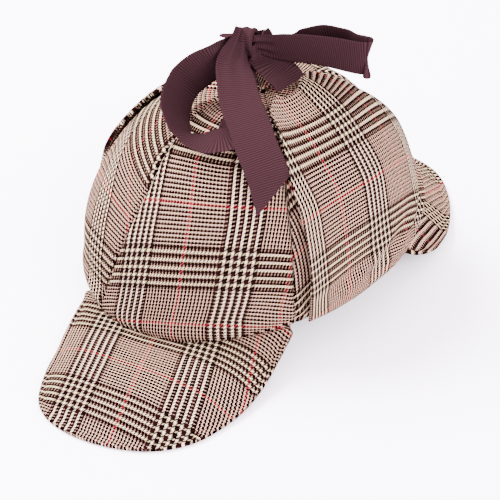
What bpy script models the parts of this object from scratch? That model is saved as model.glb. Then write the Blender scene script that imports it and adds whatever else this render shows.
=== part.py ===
"""Deerstalker hat: a four-gore cloth crown, a front and a rear peak, two ear flaps
folded up against the crown, and the ribbon bow that ties them over the top.

Metres, +Z up. The origin is on the table under the middle of the whole hat. The front
peak points along -Y and the wearer's left is +X.
"""
import math
from collections import namedtuple

import bmesh
import bpy
import numpy as np

# Driving dimensions
CROWN_LENGTH = 0.1966
CROWN_WIDTH = 0.1850
CROWN_RISE = 0.1040
EDGE_HEIGHT = 0.0164
EDGE_RISE_LEFT = 0.0102
EDGE_RISE_BACK = 0.0017
EDGE_ARCH = 0.0050
TOP_LEAN_LEFT = 0.0178
TOP_LEAN_BACK = 0.0058
GORE_PUFF = 0.0025
CLOTH = 0.0020
SEAM_GAP = 0.0003
GORE_TOP = 0.985
TOUCH_GAP = 0.0003

FRONT_PEAK_DEPTH = 0.0775
REAR_PEAK_DEPTH = 0.0560
FRONT_PEAK_SPAN = math.radians(46)
REAR_PEAK_SPAN = math.radians(84)
FRONT_PEAK_TURN = math.radians(-4)
PEAK_THICKNESS = 0.0030
PEAK_CROWNING = 0.0040
PEAK_END_DROP = 0.0025
RIM_WIDTH = 0.0045
RIM_SHARE = 0.4

FLAP_THICKNESS = 0.0030
FLAP_STAND = 0.0050
FLAP_FRONT_LIFT = 0.0035
FLAP_LIFT_SHARE = 0.2
FLAP_LIFT_LEVEL = 0.2

RIBBON_WIDTH = 0.0250
RIBBON_THICKNESS = 0.0010
KNOT_LIFT = 0.0245
KNOT_WIDTH = 0.0150
KNOT_DEPTH = 0.0130
KNOT_HEIGHT = 0.0180
LOOP_REACH = 0.0660

# Mesh divisions
NUDGE = 0.004
GORE_COLUMNS = 12
GORE_ROWS = 14
PEAK_COLUMNS = 36
PEAK_ROWS = 6
FLAP_COLUMNS = 16
FLAP_ROWS = 20
RIBBON_STEPS = 36
RIBBON_LANES = 2
KNOT_RINGS = 10
KNOT_SECTORS = 16

Profile = namedtuple("Profile", "level reach height")
CROWN_PROFILE = (
    Profile(0.000, 1.000, 0.000),
    Profile(0.125, 0.985, 0.150),
    Profile(0.250, 0.960, 0.320),
    Profile(0.375, 0.905, 0.490),
    Profile(0.500, 0.808, 0.660),
    Profile(0.625, 0.672, 0.815),
    Profile(0.750, 0.485, 0.930),
    Profile(0.875, 0.262, 0.985),
    Profile(1.000, 0.000, 1.000),
)

# Where the gores' seams run, in degrees from the front, towards the wearer's left
Seams = namedtuple("Seams", "level front_right front_left back_left back_right")
SEAMS = (
    Seams(0.00, -36, 44, 142, 218),
    Seams(0.20, -29, 44, 142, 217),
    Seams(0.40, -26, 43, 143, 216),
    Seams(0.55, -27, 41, 144, 216),
    Seams(0.70, -36, 39, 145, 217),
    Seams(0.85, -54, 36, 147, 220),
    Seams(1.00, -75, 30, 150, 225),
)

# A peak's outline: how far it reaches, and how high its rim lies, across its span
Outline = namedtuple("Outline", "turn reach rise")
FRONT_OUTLINE = (
    Outline(-1.00, 0.030, 0.95),
    Outline(-0.92, 0.065, 0.82),
    Outline(-0.84, 0.139, 0.60),
    Outline(-0.76, 0.218, 0.40),
    Outline(-0.66, 0.330, 0.22),
    Outline(-0.57, 0.445, 0.09),
    Outline(-0.48, 0.605, 0.02),
    Outline(-0.40, 0.745, 0.00),
    Outline(-0.33, 0.860, 0.00),
    Outline(-0.25, 0.935, 0.00),
    Outline(-0.13, 0.985, 0.00),
    Outline(0.00, 1.000, 0.00),
    Outline(0.15, 0.987, 0.00),
    Outline(0.24, 0.962, 0.00),
    Outline(0.33, 0.910, 0.00),
    Outline(0.42, 0.825, 0.00),
    Outline(0.51, 0.700, 0.02),
    Outline(0.62, 0.535, 0.09),
    Outline(0.72, 0.375, 0.24),
    Outline(0.84, 0.200, 0.52),
    Outline(0.94, 0.095, 0.80),
    Outline(1.00, 0.040, 0.95),
)
REAR_HALF = (
    Outline(0.00, 1.000, 0.00),
    Outline(0.27, 0.985, 0.00),
    Outline(0.35, 0.970, 0.00),
    Outline(0.41, 0.920, 0.00),
    Outline(0.47, 0.840, 0.01),
    Outline(0.58, 0.692, 0.07),
    Outline(0.65, 0.605, 0.12),
    Outline(0.73, 0.515, 0.19),
    Outline(0.79, 0.460, 0.27),
    Outline(0.84, 0.423, 0.36),
    Outline(0.90, 0.388, 0.49),
    Outline(0.96, 0.333, 0.66),
    Outline(1.00, 0.250, 0.78),
)
REAR_OUTLINE = tuple(row._replace(turn=-row.turn) for row in REAR_HALF[:0:-1]) + REAR_HALF

# A flap's two upright edges, in degrees from the front
FlapEdge = namedtuple("FlapEdge", "level front back stand")
LEFT_FLAP = (
    FlapEdge(0.000, 47, 101, 0.02),
    FlapEdge(0.080, 47, 116, 0.72),
    FlapEdge(0.180, 47, 124, 1.00),
    FlapEdge(0.300, 47, 126, 1.00),
    FlapEdge(0.400, 46, 125, 0.95),
    FlapEdge(0.500, 44, 122, 0.90),
    FlapEdge(0.630, 41, 119, 0.80),
    FlapEdge(0.720, 39, 121, 0.70),
    FlapEdge(0.800, 36, 132, 0.60),
    FlapEdge(0.860, 34, 140, 0.50),
    FlapEdge(0.905, 48, 128, 0.45),
)
RIGHT_FLAP = (
    FlapEdge(0.000, 84, 97, 0.02),
    FlapEdge(0.080, 88, 108, 0.50),
    FlapEdge(0.180, 91, 124, 0.80),
    FlapEdge(0.300, 91, 138, 0.90),
    FlapEdge(0.400, 88, 142, 0.90),
    FlapEdge(0.500, 87, 143, 1.00),
    FlapEdge(0.630, 94, 145, 1.10),
    FlapEdge(0.720, 97, 147, 1.00),
    FlapEdge(0.800, 98, 149, 0.80),
    FlapEdge(0.860, 98, 150, 0.60),
    FlapEdge(0.905, 106, 142, 0.50),
)

# A ribbon's route over the crown. The stand is its height off the cloth, as a share of
# the knot's; heading and climb say which way its width points, and spread how much of
# its full width lies open
Route = namedtuple("Route", "angle level stand heading climb spread")
LEFT_TIE = (
    Route(92, 0.840, 0.345, 164, 0, 1.00),
    Route(92, 0.885, 0.340, 166, 0, 1.00),
    Route(94, 0.930, 0.380, 168, 0, 0.85),
    Route(104, 0.960, 0.560, 174, 0, 0.60),
)
RIGHT_TIE = (
    Route(-122, 0.840, 0.430, 150, 0, 1.00),
    Route(-122, 0.885, 0.420, 150, 0, 1.00),
    Route(-120, 0.930, 0.430, 150, 0, 0.80),
    Route(-118, 0.955, 0.480, 150, 0, 0.70),
)
LEFT_LOOP = (
    Route(-60, 0.895, 0.970, 151, -62, 0.85),
    Route(-58, 0.860, 0.890, 149, -63, 1.00),
    Route(-58, 0.825, 0.770, 144, -60, 1.00),
    Route(-57, 0.795, 0.640, 146, -51, 1.00),
    Route(-50, 0.770, 0.555, 155, -42, 1.00),
    Route(-40, 0.750, 0.530, 163, -36, 1.00),
    Route(-31, 0.735, 0.500, 175, -30, 1.00),
    Route(-24, 0.725, 0.445, 190, -22, 1.00),
    Route(-17, 0.727, 0.365, 203, -13, 1.00),
    Route(-9, 0.735, 0.300, 205, -4, 1.00),
    Route(-1, 0.745, 0.285, 205, 2, 1.00),
    Route(5, 0.770, 0.260, 206, 12, 0.90),
    Route(6, 0.820, 0.280, 206, 24, 0.75),
    Route(0, 0.890, 0.350, 200, 20, 0.55),
)
FRONT_TAIL = (
    Route(-26, 0.920, 1.000, 118, -5, 0.80),
    Route(-9, 0.892, 0.830, 126, -1, 0.92),
    Route(4, 0.845, 0.690, 128, 5, 0.96),
    Route(15, 0.775, 0.560, 127, 5, 0.96),
    Route(22, 0.705, 0.450, 127, 3, 0.96),
    Route(28, 0.635, 0.340, 127, 0, 0.96),
    Route(33, 0.560, 0.250, 127, -2, 0.94),
)
BACK_TAIL = (
    Route(-127, 0.880, 0.960, -60, 0, 0.80),
    Route(-145, 0.800, 0.750, -62, 0, 1.00),
    Route(-155, 0.710, 0.440, -66, 0, 1.00),
    Route(-162, 0.630, 0.240, -70, 0, 1.00),
    Route(-165, 0.550, 0.180, -72, 0, 1.00),
)

# The free loop, in shares of its reach from the knot's middle
Flight = namedtuple("Flight", "left back up heading climb spread")
RIGHT_LOOP = (
    Flight(0.22, -0.02, 0.018, 18, 66, 0.58),
    Flight(0.33, -0.01, 0.010, 24, 65, 0.88),
    Flight(0.48, 0.01, 0.010, 27, 66, 1.00),
    Flight(0.63, 0.01, 0.012, 28, 68, 1.00),
    Flight(0.78, 0.01, 0.010, 30, 71, 1.00),
    Flight(0.91, 0.02, 0.004, 32, 72, 1.00),
    Flight(0.96, 0.06, -0.004, 34, 72, 1.00),
    Flight(0.95, 0.15, -0.020, 34, 71, 1.00),
    Flight(0.86, 0.23, -0.030, 32, 70, 1.00),
    Flight(0.74, 0.26, -0.016, 26, 69, 1.00),
    Flight(0.59, 0.25, 0.000, 26, 67, 1.00),
    Flight(0.44, 0.22, 0.025, 24, 66, 0.80),
    Flight(0.30, 0.17, 0.030, 22, 65, 0.58),
)

# Where each ribbon meets the knot, in shares of the knot's half sizes
Meeting = namedtuple("Meeting", "left back up heading climb spread")
LEFT_TIE_END = Meeting(1.22, 0.50, -0.80, 176, 0, 0.40)
RIGHT_TIE_END = Meeting(-0.42, 0.00, -1.01, 150, 0, 0.45)
LEFT_LOOP_START = Meeting(-1.12, -0.30, -0.10, 150, -66, 0.50)
LEFT_LOOP_END = Meeting(-0.05, -0.90, -0.85, 190, 10, 0.38)
FRONT_TAIL_START = Meeting(-0.15, -1.05, 0.35, 100, 0, 0.45)
BACK_TAIL_START = Meeting(-0.70, 0.85, 0.10, -60, 0, 0.45)
RIGHT_LOOP_START = Meeting(0.99, -0.35, 0.05, 18, 68, 0.50)
RIGHT_LOOP_END = Meeting(0.85, 0.80, 0.10, 18, 66, 0.42)
TAIL_CUT = 0.0160
CUT_FROM = 0.75
KNOT_PLACE = (-0.32, 0.25, 1.00)

COLOURS = {
    "check": (0.46, 0.38, 0.33, 1.0),
    "ribbon": (0.085, 0.040, 0.045, 1.0),
}
CLOTH_ROUGHNESS = 0.85
RIBBON_ROUGHNESS = 0.55


def clear_scene():
    """Removes whatever the file opened with."""
    for item in list(bpy.data.objects):
        bpy.data.objects.remove(item, do_unlink=True)


def material(name, kind):
    """A plain Principled material."""
    made = bpy.data.materials.new(name + "_material")
    made.use_nodes = True
    shader = made.node_tree.nodes["Principled BSDF"]
    shader.inputs["Base Color"].default_value = COLOURS[kind]
    shader.inputs["Roughness"].default_value = RIBBON_ROUGHNESS if kind == "ribbon" else CLOTH_ROUGHNESS
    shader.inputs["Metallic"].default_value = 0.0
    return made


def smooth(table, key, column, at):
    """Reads a table's column at any place, on a smooth curve through its rows."""
    xs = np.array([getattr(row, key) for row in table], float)
    ys = np.array([getattr(row, column) for row in table], float)
    at = np.clip(np.asarray(at, float), xs[0], xs[-1])
    slopes = np.gradient(ys, xs)
    cell = np.clip(np.searchsorted(xs, at, side="right") - 1, 0, len(xs) - 2)
    step = xs[cell + 1] - xs[cell]
    t = (at - xs[cell]) / step
    start = (2 * t**3 - 3 * t**2 + 1) * ys[cell] + (t**3 - 2 * t**2 + t) * step * slopes[cell]
    finish = (-2 * t**3 + 3 * t**2) * ys[cell + 1] + (t**3 - t**2) * step * slopes[cell + 1]
    return start + finish


def unit(vectors):
    """Vectors scaled to length one."""
    return vectors / np.maximum(np.linalg.norm(vectors, axis=-1, keepdims=True), 1e-12)


def edge_height(angle):
    """Height of the crown's lower edge above the table."""
    tilt = EDGE_RISE_LEFT * np.sin(angle) - EDGE_RISE_BACK * np.cos(angle)
    return EDGE_HEIGHT + tilt + EDGE_ARCH * np.sin(angle) ** 2


def puff(angle, level):
    """How far the cloth swells between the gore's seams."""
    turn = np.degrees(np.mod(angle, math.tau))
    lines = [
        smooth(SEAMS, "level", "front_left", level),
        smooth(SEAMS, "level", "back_left", level),
        smooth(SEAMS, "level", "back_right", level),
        smooth(SEAMS, "level", "front_right", level) + 360.0,
        smooth(SEAMS, "level", "front_left", level) + 360.0,
    ]
    lines.insert(0, lines[3] - 360.0)
    swell = np.zeros(np.broadcast(turn, level).shape)
    for low, high in zip(lines, lines[1:]):
        share = np.clip((turn - low) / (high - low), 0.0, 1.0)
        swell = np.maximum(swell, np.sin(math.pi * share) * ((turn >= low) & (turn <= high)))
    return GORE_PUFF * swell * np.sin(math.pi * np.clip(level, 0.0, 1.0)) ** 0.5


def crown_skin(angle, level):
    """The crown's outer surface, before any offset."""
    angle, level = np.broadcast_arrays(np.asarray(angle, float), np.asarray(level, float))
    reach = smooth(CROWN_PROFILE, "level", "reach", level)
    height = smooth(CROWN_PROFILE, "level", "height", level)
    swell = puff(angle, level)
    x = (CROWN_WIDTH / 2 * reach + swell) * np.sin(angle) + TOP_LEAN_LEFT * height**2
    y = -(CROWN_LENGTH / 2 * reach + swell) * np.cos(angle) + TOP_LEAN_BACK * height**2
    z = edge_height(angle) * (1 - height) + (EDGE_HEIGHT + CROWN_RISE) * height
    return np.stack([x, y, z], axis=-1)


def crown_point(angle, level, proud=0.0):
    """A point held off the crown's outer surface, square to it."""
    angle, level, proud = np.broadcast_arrays(
        np.asarray(angle, float), np.asarray(level, float), np.asarray(proud, float)
    )
    inner_level = np.clip(level, 0.0, 1.0 - 2 * NUDGE)
    along = crown_skin(angle + NUDGE, inner_level) - crown_skin(angle - NUDGE, inner_level)
    upward = crown_skin(angle, inner_level + NUDGE) - crown_skin(angle, np.maximum(inner_level - NUDGE, 0.0))
    normal = unit(np.cross(along, upward))
    return crown_skin(angle, level) + normal * proud[..., None]


def solid_from_sheets(name, outer, inner, kind):
    """One closed body between two grids of points."""
    rows, columns = outer.shape[:2]
    body = bmesh.new()
    top = [[body.verts.new(outer[i, j]) for j in range(columns)] for i in range(rows)]
    low = [[body.verts.new(inner[i, j]) for j in range(columns)] for i in range(rows)]
    for i in range(rows - 1):
        for j in range(columns - 1):
            body.faces.new((top[i][j], top[i + 1][j], top[i + 1][j + 1], top[i][j + 1]))
            body.faces.new((low[i][j], low[i][j + 1], low[i + 1][j + 1], low[i + 1][j]))
    border = [(i, 0) for i in range(rows)] + [(rows - 1, j) for j in range(1, columns)]
    border += [(i, columns - 1) for i in range(rows - 2, -1, -1)] + [(0, j) for j in range(columns - 2, 0, -1)]
    for (a, b), (c, d) in zip(border, border[1:] + border[:1]):
        body.faces.new((top[a][b], low[a][b], low[c][d], top[c][d]))
    return finish_body(name, body, kind)


def finish_body(name, body, kind):
    """Turns the faces out, makes the object and gives it its material."""
    bmesh.ops.recalc_face_normals(body, faces=body.faces)
    if body.calc_volume(signed=True) < 0:
        bmesh.ops.reverse_faces(body, faces=body.faces)
    mesh = bpy.data.meshes.new(name)
    body.to_mesh(mesh)
    body.free()
    mesh.shade_smooth()
    mesh.set_sharp_from_angle(angle=math.radians(50))
    made = bpy.data.objects.new(name, mesh)
    bpy.context.scene.collection.objects.link(made)
    mesh.materials.append(material(name, kind))
    return made


def build_gore(name, low_seam, high_seam):
    """One panel of the crown, between two seams."""
    levels = np.linspace(0.0, GORE_TOP, GORE_ROWS + 1)
    shares = np.linspace(0.0, 1.0, GORE_COLUMNS + 1)
    low = np.radians(seam_line(low_seam, levels))
    high = np.radians(seam_line(high_seam, levels))
    reach = smooth(CROWN_PROFILE, "level", "reach", levels) * CROWN_WIDTH / 2
    inset = SEAM_GAP / 2 / np.maximum(reach, SEAM_GAP * 4)
    angle = (low + inset)[:, None] * (1 - shares) + (high - inset)[:, None] * shares
    level = np.broadcast_to(levels[:, None], angle.shape)
    outer = crown_point(angle, level)
    inner = crown_point(angle, level, -CLOTH)
    return solid_from_sheets(name, outer, inner, "check")


def seam_line(which, levels):
    """A seam's angle at each level, in degrees; a second value shifts it by a turn."""
    column, shift = which
    return smooth(SEAMS, "level", column, levels) + shift


def build_crown():
    """The four gores."""
    build_gore("crown_front", ("front_right", 0), ("front_left", 0))
    build_gore("crown_left", ("front_left", 0), ("back_left", 0))
    build_gore("crown_back", ("back_left", 0), ("back_right", 0))
    build_gore("crown_right", ("back_right", 0), ("front_right", 360))


def build_peak(name, outline, middle, span, depth):
    """A stiffened peak: its root is sewn under the crown's edge and its rim lies down."""
    turns = np.sin(np.linspace(-1.0, 1.0, PEAK_COLUMNS + 1) * math.pi / 2)
    angle = middle + turns * span
    reach = smooth(outline, "turn", "reach", turns) * depth
    rise = np.clip(smooth(outline, "turn", "rise", turns), 0.0, 1.0)
    wall = crown_skin(angle, 0.0)
    away = unit(np.stack([np.sin(angle) / CROWN_WIDTH, -np.cos(angle) / CROWN_LENGTH, 0 * angle], -1))
    edge = np.minimum(wall[:, 2], crown_point(angle, 0.0, -CLOTH)[:, 2])
    under = edge - TOUCH_GAP - PEAK_END_DROP * rise
    rim_top = PEAK_THICKNESS + (under - PEAK_THICKNESS) * rise
    seam = TOUCH_GAP * 2
    slope = [(-CLOTH, 0.0), (seam, 0.0)]
    slope += [(None, share) for share in np.linspace(0.0, 1.0, PEAK_ROWS + 1)[1:]]
    slope += [(RIM_WIDTH, 1.0)]
    outer, inner = [], []
    flat = np.minimum(RIM_WIDTH, reach * RIM_SHARE)
    for fixed, share in slope:
        if fixed is None:
            out = seam + (reach - flat - seam) * share
        else:
            out = reach if fixed == RIM_WIDTH else np.full_like(reach, fixed)
        arch = PEAK_CROWNING * np.sin(math.pi * share) * (reach / depth) * (1 - rise)
        height = under + (rim_top - under) * share + arch
        spot = wall + away * out[:, None]
        outer.append(np.column_stack([spot[:, :2], height]))
        inner.append(np.column_stack([spot[:, :2], height - PEAK_THICKNESS]))
    return solid_from_sheets(name, np.array(outer), np.array(inner), "check")


def flap_sheet(table, side, turn, level, skin):
    """Points on a flap: skin 0 is its inner face and 1 its outer one."""
    stand = smooth(table, "level", "stand", level) * FLAP_STAND
    front = np.clip(1 - turn / FLAP_LIFT_SHARE, 0.0, 1.0) ** 2
    high = np.clip(level / FLAP_LIFT_LEVEL, 0.0, 1.0)
    proud = TOUCH_GAP + stand + FLAP_FRONT_LIFT * front * high + skin * FLAP_THICKNESS
    low_angle = np.radians(smooth(table, "level", "front", level))
    high_angle = np.radians(smooth(table, "level", "back", level))
    return crown_point(side * (low_angle * (1 - turn) + high_angle * turn), level, proud)


def build_flap(name, table, side):
    """An ear flap of double cloth, folded up from the crown's edge."""
    turns = np.linspace(0.0, 1.0, FLAP_COLUMNS + 1)
    levels = np.linspace(table[0].level, table[-1].level, FLAP_ROWS + 1)
    turn, level = np.meshgrid(turns, levels)
    outer = flap_sheet(table, side, turn, level, 1.0)
    inner = flap_sheet(table, side, turn, level, 0.0)
    return solid_from_sheets(name, outer, inner, "check")


def curve(values, at):
    """A smooth curve through evenly placed values."""
    rows = [Outline(k, v, 0.0) for k, v in zip(np.linspace(0.0, 1.0, len(values)), values)]
    return smooth(rows, "turn", "reach", at)


def column(rows, name):
    """One column of a table as an array."""
    return np.array([getattr(row, name) for row in rows], float)


def ribbon_faces(middles, rows, cut):
    """The ribbon's two faces along its middle line; the cut slants its last end."""
    fine = np.linspace(0.0, 1.0, RIBBON_STEPS + 1)
    line = np.stack([curve(middles[:, k], fine) for k in range(3)], -1)
    heading = np.radians(curve(column(rows, "heading"), fine))
    climb = np.radians(curve(column(rows, "climb"), fine))
    spread = curve(column(rows, "spread"), fine)
    across = np.stack([
        np.sin(heading) * np.cos(climb), -np.cos(heading) * np.cos(climb), np.sin(climb)
    ], -1)
    forward = unit(np.gradient(line, axis=0))
    across = unit(across - forward * np.sum(across * forward, -1, keepdims=True))
    face = unit(np.cross(across, forward))
    lanes = np.linspace(-0.5, 0.5, RIBBON_LANES + 1)
    slant = np.clip((fine - CUT_FROM) / (1 - CUT_FROM), 0.0, 1.0)[:, None, None] * lanes[:, None] * -cut
    place = line[:, None] + across[:, None] * (lanes[:, None] * spread[:, None, None] * RIBBON_WIDTH)
    place = place + forward[:, None] * slant
    half = RIBBON_THICKNESS / 2
    return place + face[:, None] * half, place - face[:, None] * half


def build_ribbon(name, middles, rows, cut=0.0):
    """A flat ribbon along a route."""
    outer, inner = ribbon_faces(middles, rows, cut)
    return solid_from_sheets(name, outer, inner, "ribbon")


def over_crown(rows):
    """Places of a route that follows the crown."""
    return crown_point(
        np.radians(column(rows, "angle")), column(rows, "level"), column(rows, "stand") * KNOT_LIFT
    )


def from_knot(rows, size):
    """Places given in shares of a size, from the knot's middle."""
    shares = np.stack([column(rows, "left"), column(rows, "back"), column(rows, "up")], -1)
    return knot_middle() + shares * size


def knot_middle():
    """Where the knot sits, above the crown's top."""
    return crown_skin(0.0, 1.0) + np.array(KNOT_PLACE) * KNOT_LIFT


def knot_half():
    """Half the knot's width, depth and height."""
    return np.array([KNOT_WIDTH, KNOT_DEPTH, KNOT_HEIGHT]) / 2


def build_knot():
    """The knot: a rounded lump of wound ribbon."""
    body = bmesh.new()
    bmesh.ops.create_uvsphere(body, u_segments=KNOT_SECTORS, v_segments=KNOT_RINGS, radius=1.0)
    middle = knot_middle()
    half = knot_half()
    for corner in body.verts:
        corner.co = [middle[k] + corner.co[k] * half[k] for k in range(3)]
    return finish_body("bow_knot", body, "ribbon")


def build_bow():
    """The two ties, the knot, two loops and two free ends."""
    build_knot()
    runs = (
        ("tie_left", (), LEFT_TIE, (LEFT_TIE_END,), 0.0),
        ("tie_right", (), RIGHT_TIE, (RIGHT_TIE_END,), 0.0),
        ("bow_loop_left", (LEFT_LOOP_START,), LEFT_LOOP, (LEFT_LOOP_END,), 0.0),
        ("bow_tail_front", (FRONT_TAIL_START,), FRONT_TAIL, (), TAIL_CUT),
        ("bow_tail_back", (BACK_TAIL_START,), BACK_TAIL, (), TAIL_CUT),
    )
    for name, starts, route, ends, cut in runs:
        places = [from_knot(starts, knot_half())] if starts else []
        places.append(over_crown(route))
        places += [from_knot(ends, knot_half())] if ends else []
        build_ribbon(name, np.vstack(places), starts + route + ends, cut)
    loop = np.vstack([
        from_knot((RIGHT_LOOP_START,), knot_half()),
        from_knot(RIGHT_LOOP, LOOP_REACH),
        from_knot((RIGHT_LOOP_END,), knot_half()),
    ])
    build_ribbon("bow_loop_right", loop, (RIGHT_LOOP_START,) + RIGHT_LOOP + (RIGHT_LOOP_END,))


def centre_frame():
    """Moves the hat so that the origin lies under the middle of its bounding box."""
    meshes = [item.data for item in bpy.data.objects if item.type == "MESH"]
    places = np.array([corner.co[:] for mesh in meshes for corner in mesh.vertices])
    middle = (places.min(0) + places.max(0)) / 2
    for mesh in meshes:
        for corner in mesh.vertices:
            corner.co.x -= middle[0]
            corner.co.y -= middle[1]


def main():
    """Builds every piece."""
    clear_scene()
    build_crown()
    build_peak("front_peak", FRONT_OUTLINE, FRONT_PEAK_TURN, FRONT_PEAK_SPAN, FRONT_PEAK_DEPTH)
    build_peak("rear_peak", REAR_OUTLINE, math.pi, REAR_PEAK_SPAN, REAR_PEAK_DEPTH)
    build_flap("ear_flap_left", LEFT_FLAP, 1)
    build_flap("ear_flap_right", RIGHT_FLAP, -1)
    build_bow()
    centre_frame()


main()
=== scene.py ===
"""Looks for the deerstalker hat: glen-check cloth, ribbon bow, floor, light and camera."""
import logging
import math
from dataclasses import dataclass
from enum import Enum

import bpy
import numpy as np
from mathutils import Matrix, Vector


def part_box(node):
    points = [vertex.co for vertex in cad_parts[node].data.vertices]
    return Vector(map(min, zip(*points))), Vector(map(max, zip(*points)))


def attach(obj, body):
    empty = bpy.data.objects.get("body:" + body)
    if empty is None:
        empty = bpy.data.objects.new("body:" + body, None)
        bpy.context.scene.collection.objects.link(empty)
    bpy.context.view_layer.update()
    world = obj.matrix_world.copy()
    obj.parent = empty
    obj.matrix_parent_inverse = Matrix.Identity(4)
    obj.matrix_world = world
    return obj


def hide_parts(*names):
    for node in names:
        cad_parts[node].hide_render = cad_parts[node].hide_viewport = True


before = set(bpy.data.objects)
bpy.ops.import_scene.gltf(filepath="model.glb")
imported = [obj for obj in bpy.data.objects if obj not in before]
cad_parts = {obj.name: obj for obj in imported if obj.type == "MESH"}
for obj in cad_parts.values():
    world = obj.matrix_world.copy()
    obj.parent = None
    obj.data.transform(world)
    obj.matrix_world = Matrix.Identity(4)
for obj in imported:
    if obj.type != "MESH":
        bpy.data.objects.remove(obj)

logging.basicConfig(level=logging.INFO, format="%(message)s")
log = logging.getLogger("hat")

Array = np.ndarray
Triple = tuple[float, float, float]
Socket = bpy.types.NodeSocket

TINY = 1e-12  # keeps a division by a length from failing
FULL_TURN = 360.0  # degrees
WAVES = 4  # how many waves ripples adds up
SEED_TURN = 1.7  # how far one seed turns them, in radians
WAVE_TURN = 2.399  # how far each wave is turned from the last, in radians
WAVE_STRETCH = 1.3  # how much closer they follow one another along the second coordinate
WAVE_TOTAL = 1.6  # brings their sum to about one
END_SHARE = 0.12  # the share of a half turn that band leaves out at each end


class Side(Enum):
    """The wearer's side that a flap belongs to."""

    LEFT = 1
    RIGHT = -1


class Finish(Enum):
    """The material slots."""

    CHECK = "check_cloth"
    RIBBON = "ribbon"


@dataclass(frozen=True)
class Table:
    """Rows of named columns, read on a smooth curve by the first column.

    Args:
        names: the columns' names, the key first.
        rows: the rows, in order of the key.
    """

    names: tuple[str, ...]
    rows: tuple[tuple[float, ...], ...]

    def column(self, name: str) -> Array:
        """One column as an array."""
        return np.array([row[self.names.index(name)] for row in self.rows], float)

    def read(self, name: str, at: Array | float) -> Array:
        """Reads a column at any key.

        Args:
            name: the column's name.
            at: the keys to read at; those outside the table take its end rows.

        Returns:
            The values, shaped like the keys.
        """
        xs, ys = self.column(self.names[0]), self.column(name)
        at = np.clip(np.asarray(at, float), xs[0], xs[-1])
        slopes = np.gradient(ys, xs)
        cell = np.clip(np.searchsorted(xs, at, side="right") - 1, 0, len(xs) - 2)
        step = xs[cell + 1] - xs[cell]
        t = (at - xs[cell]) / step
        start = (2 * t**3 - 3 * t**2 + 1) * ys[cell] + (t**3 - 2 * t**2 + t) * step * slopes[cell]
        finish = (-2 * t**3 + 3 * t**2) * ys[cell + 1] + (t**3 - t**2) * step * slopes[cell + 1]
        return start + finish


def unit(vectors: Array) -> Array:
    """Vectors scaled to length one."""
    return vectors / np.maximum(np.linalg.norm(vectors, axis=-1, keepdims=True), TINY)


def ripples(a: Array, b: Array, seed: float) -> Array:
    """Smooth unrepeating waves over two coordinates, from about -1 to 1.

    Args:
        a: the first coordinate.
        b: the second coordinate.
        seed: makes these waves unlike others.

    Returns:
        The waves' height at each place.
    """
    total = np.zeros(np.broadcast(a, b).shape)
    for k in range(1, WAVES + 1):
        turn = seed * SEED_TURN + k * WAVE_TURN
        phase = a * math.cos(turn) * k + b * math.sin(turn) * k * WAVE_STRETCH + seed * k
        total = total + np.sin(phase) / k
    return total / WAVE_TOTAL


def around(outer: Array, inner: Array) -> Array:
    """Closed loops: along one face and back along the other."""
    return np.concatenate([outer, inner[:, ::-1]], axis=1)


def add_object(name: str, data: bpy.types.ID) -> bpy.types.Object:
    """Puts a new object into the scene."""
    made = bpy.data.objects.new(name, data)
    bpy.context.scene.collection.objects.link(made)
    return made


@dataclass(frozen=True)
class Ridge:
    """A smooth ridge, or a groove where its height is below zero.

    Args:
        height: how high it stands.
        at: where it is highest.
        width: how far it reaches to both sides.
    """

    height: float
    at: float
    width: float

    def read(self, place: Array) -> Array:
        """Its height at each place."""
        return self.height * np.exp(-(((place - self.at) / self.width) ** 2))


@dataclass(frozen=True)
class Waves:
    """Gentle waves in cloth, which fade out towards its edge.

    Args:
        height: how high they stand.
        across: how closely they follow one another across the piece.
        along: the same along it.
        fade: the distance from the edge at which they stand full.
    """

    height: float
    across: float
    along: float
    fade: float

    def read(self, a: Array, b: Array, seed: float) -> Array:
        """Their full height at two coordinates."""
        return self.height * ripples(a * self.across, b * self.along, seed)

    def share(self, distance: Array) -> Array:
        """How much of it is left at a distance from the edge."""
        return np.clip(distance / self.fade, 0.0, 1.0)


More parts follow.
